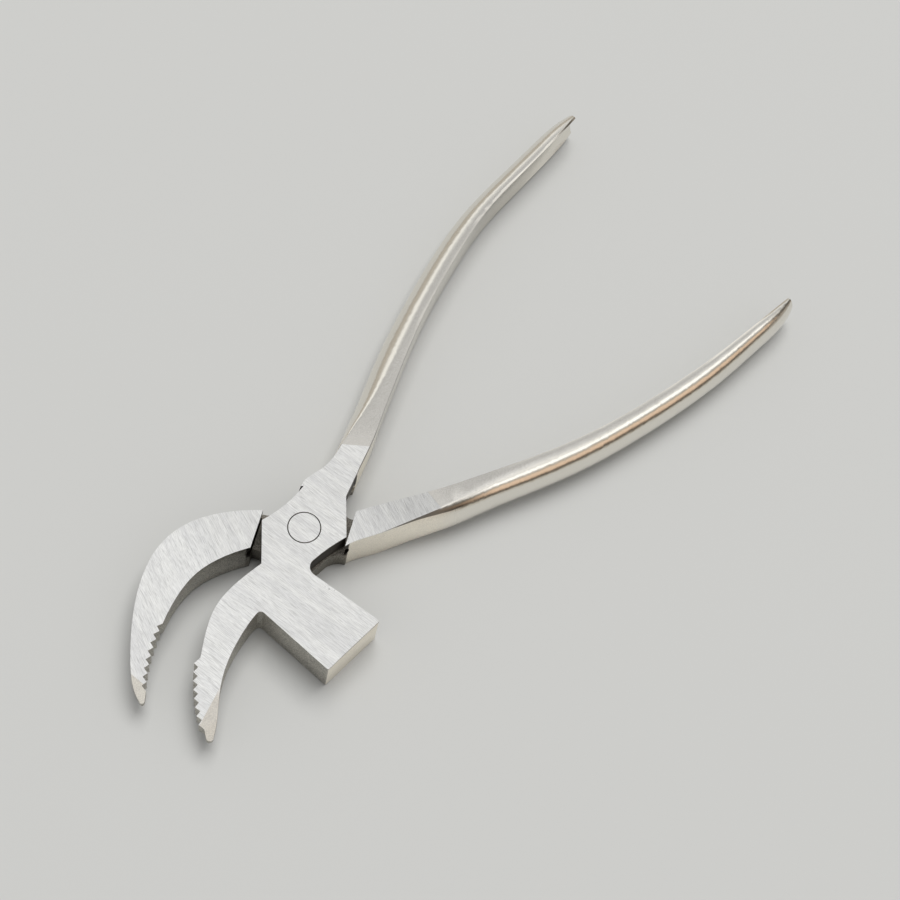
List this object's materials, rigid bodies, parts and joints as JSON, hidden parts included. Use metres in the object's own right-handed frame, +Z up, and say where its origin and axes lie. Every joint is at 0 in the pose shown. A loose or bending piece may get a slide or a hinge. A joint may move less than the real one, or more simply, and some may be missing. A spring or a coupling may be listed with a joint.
{
  "type": "lasting pliers",
  "caption": "Forged steel lasting pliers: toothed jaws curved to one side, a square hammer on one lever, a flush pivot rivet and long bowed handles",
  "frame": {"origin": "on the pivot axis, in the plane of the underside that the pliers lie on", "axes": "+X from the pivot towards the handles, midway between the two levers' shoulders at rest; +Y to the side of the hammer lever's handle, and the hammer's face looks to -Y; +Z up, along the pivot axis"},
  "size_m": [0.2163, 0.0918, 0.0127],
  "materials": {
    "hammer_lever_steel": "brushed flat faces, polished handle",
    "plain_lever_steel": "brushed flat faces, polished handle",
    "rivet_steel": "brushed flush with the lever"
  },
  "bodies": {
    "hammer_lever": {"hammer_lever": "hammer_lever_steel", "pivot_rivet": "rivet_steel"},
    "plain_lever": {"plain_lever": "plain_lever_steel"}
  },
  "joints": [
    {"name": "pivot", "type": "hinge", "parent": "hammer_lever", "child": "plain_lever", "pos_m": [0, 0, 0.00635], "axis": [0, 0, 1], "range_deg": [0, 16.8]}
  ]
}
